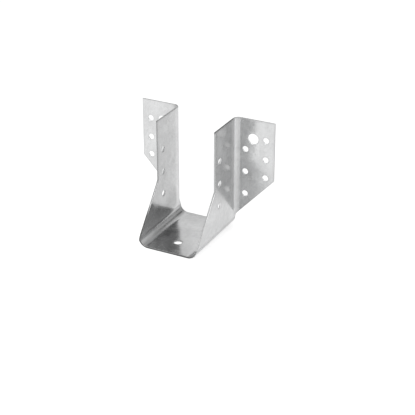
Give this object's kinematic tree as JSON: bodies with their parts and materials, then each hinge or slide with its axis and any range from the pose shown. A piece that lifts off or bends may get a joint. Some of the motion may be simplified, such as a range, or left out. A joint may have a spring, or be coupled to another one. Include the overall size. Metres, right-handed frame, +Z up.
{
  "type": "joist hanger",
  "caption": "Face-fixed joist hanger folded from one galvanised sheet: a U-shaped seat with tapered side plates and two outward flanges with nail and bolt holes.",
  "frame": {"origin": "on the ground under the seat, in the middle of the hanger's width and depth", "axes": "+Z up, +Y out of the flanges' back faces towards the header, +X to the right seen from the joist's side"},
  "size_m": [0.122, 0.072, 0.0983],
  "materials": {
    "galvanised_steel": "smooth hot-dip galvanised, soft gloss with faint cloudy spangle"
  },
  "bodies": {
    "root": {"hanger": "galvanised_steel"}
  },
  "joints": []
}
